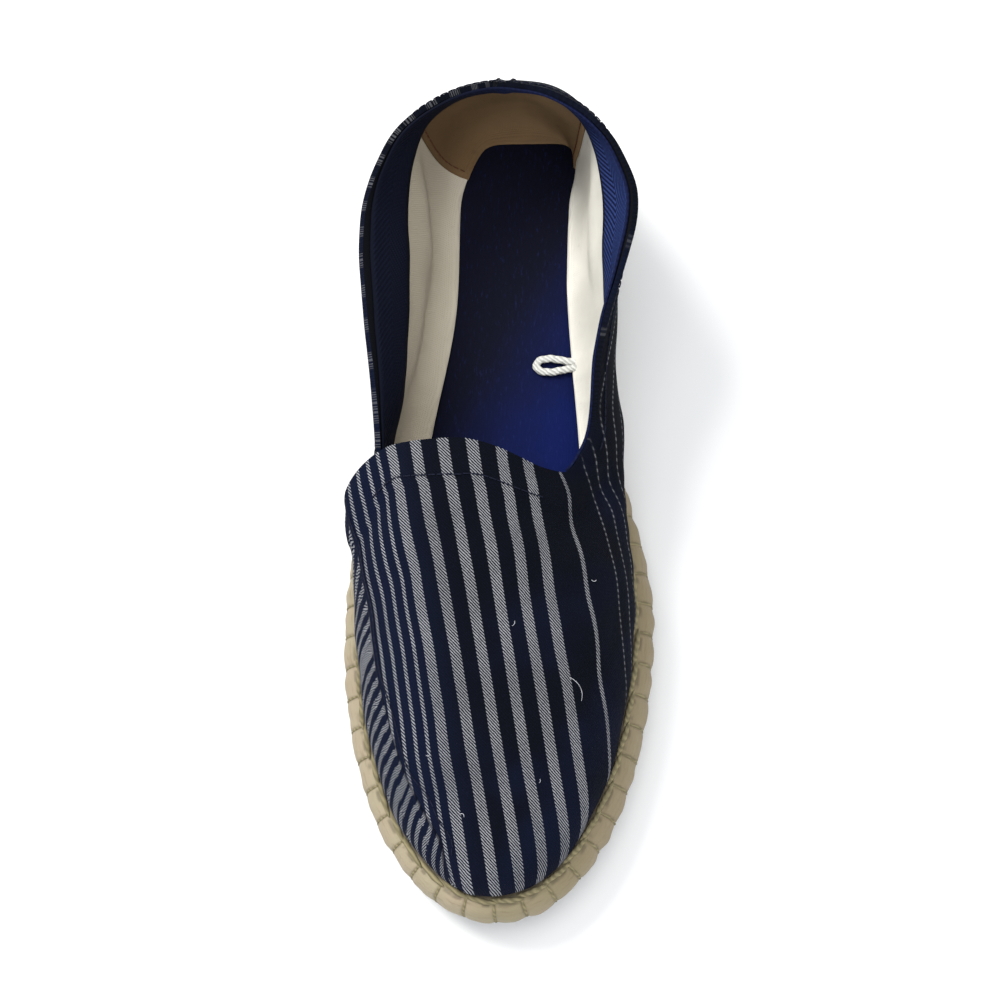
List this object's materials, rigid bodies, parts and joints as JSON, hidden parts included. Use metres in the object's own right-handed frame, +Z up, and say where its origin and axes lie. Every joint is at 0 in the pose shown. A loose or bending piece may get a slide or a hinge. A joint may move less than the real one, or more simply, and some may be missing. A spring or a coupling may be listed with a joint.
{
  "type": "espadrille",
  "caption": "Slip-on espadrille for the right foot: hollow striped canvas upper with a free throat tab, wrapped and blanket-stitched sole edge and thin rubber outsole.",
  "frame": {"origin": "on the floor, under the middle of the shoe's bounding box", "axes": "+Y to the heel and -Y to the toe, +X to the inner side of the right foot, +Z up"},
  "size_m": [0.089, 0.254, 0.07],
  "materials": {
    "outsole_rubber": "matt black rubber with a fine tread",
    "edge_wrap": "beige woven wrap with ochre blanket stitches",
    "insole_sock": "navy brushed sock, bluer where it catches the light",
    "striped_canvas": "navy twill canvas with off-white lengthwise stripes of several widths",
    "twill_tape": "navy herringbone tape",
    "loop_cord": "white braided cord"
  },
  "bodies": {
    "root": {"outsole": "outsole_rubber", "midsole": "edge_wrap", "insole": "insole_sock", "upper": "striped_canvas", "collar_tape": "twill_tape", "hanging_loop": "loop_cord"}
  },
  "joints": []
}
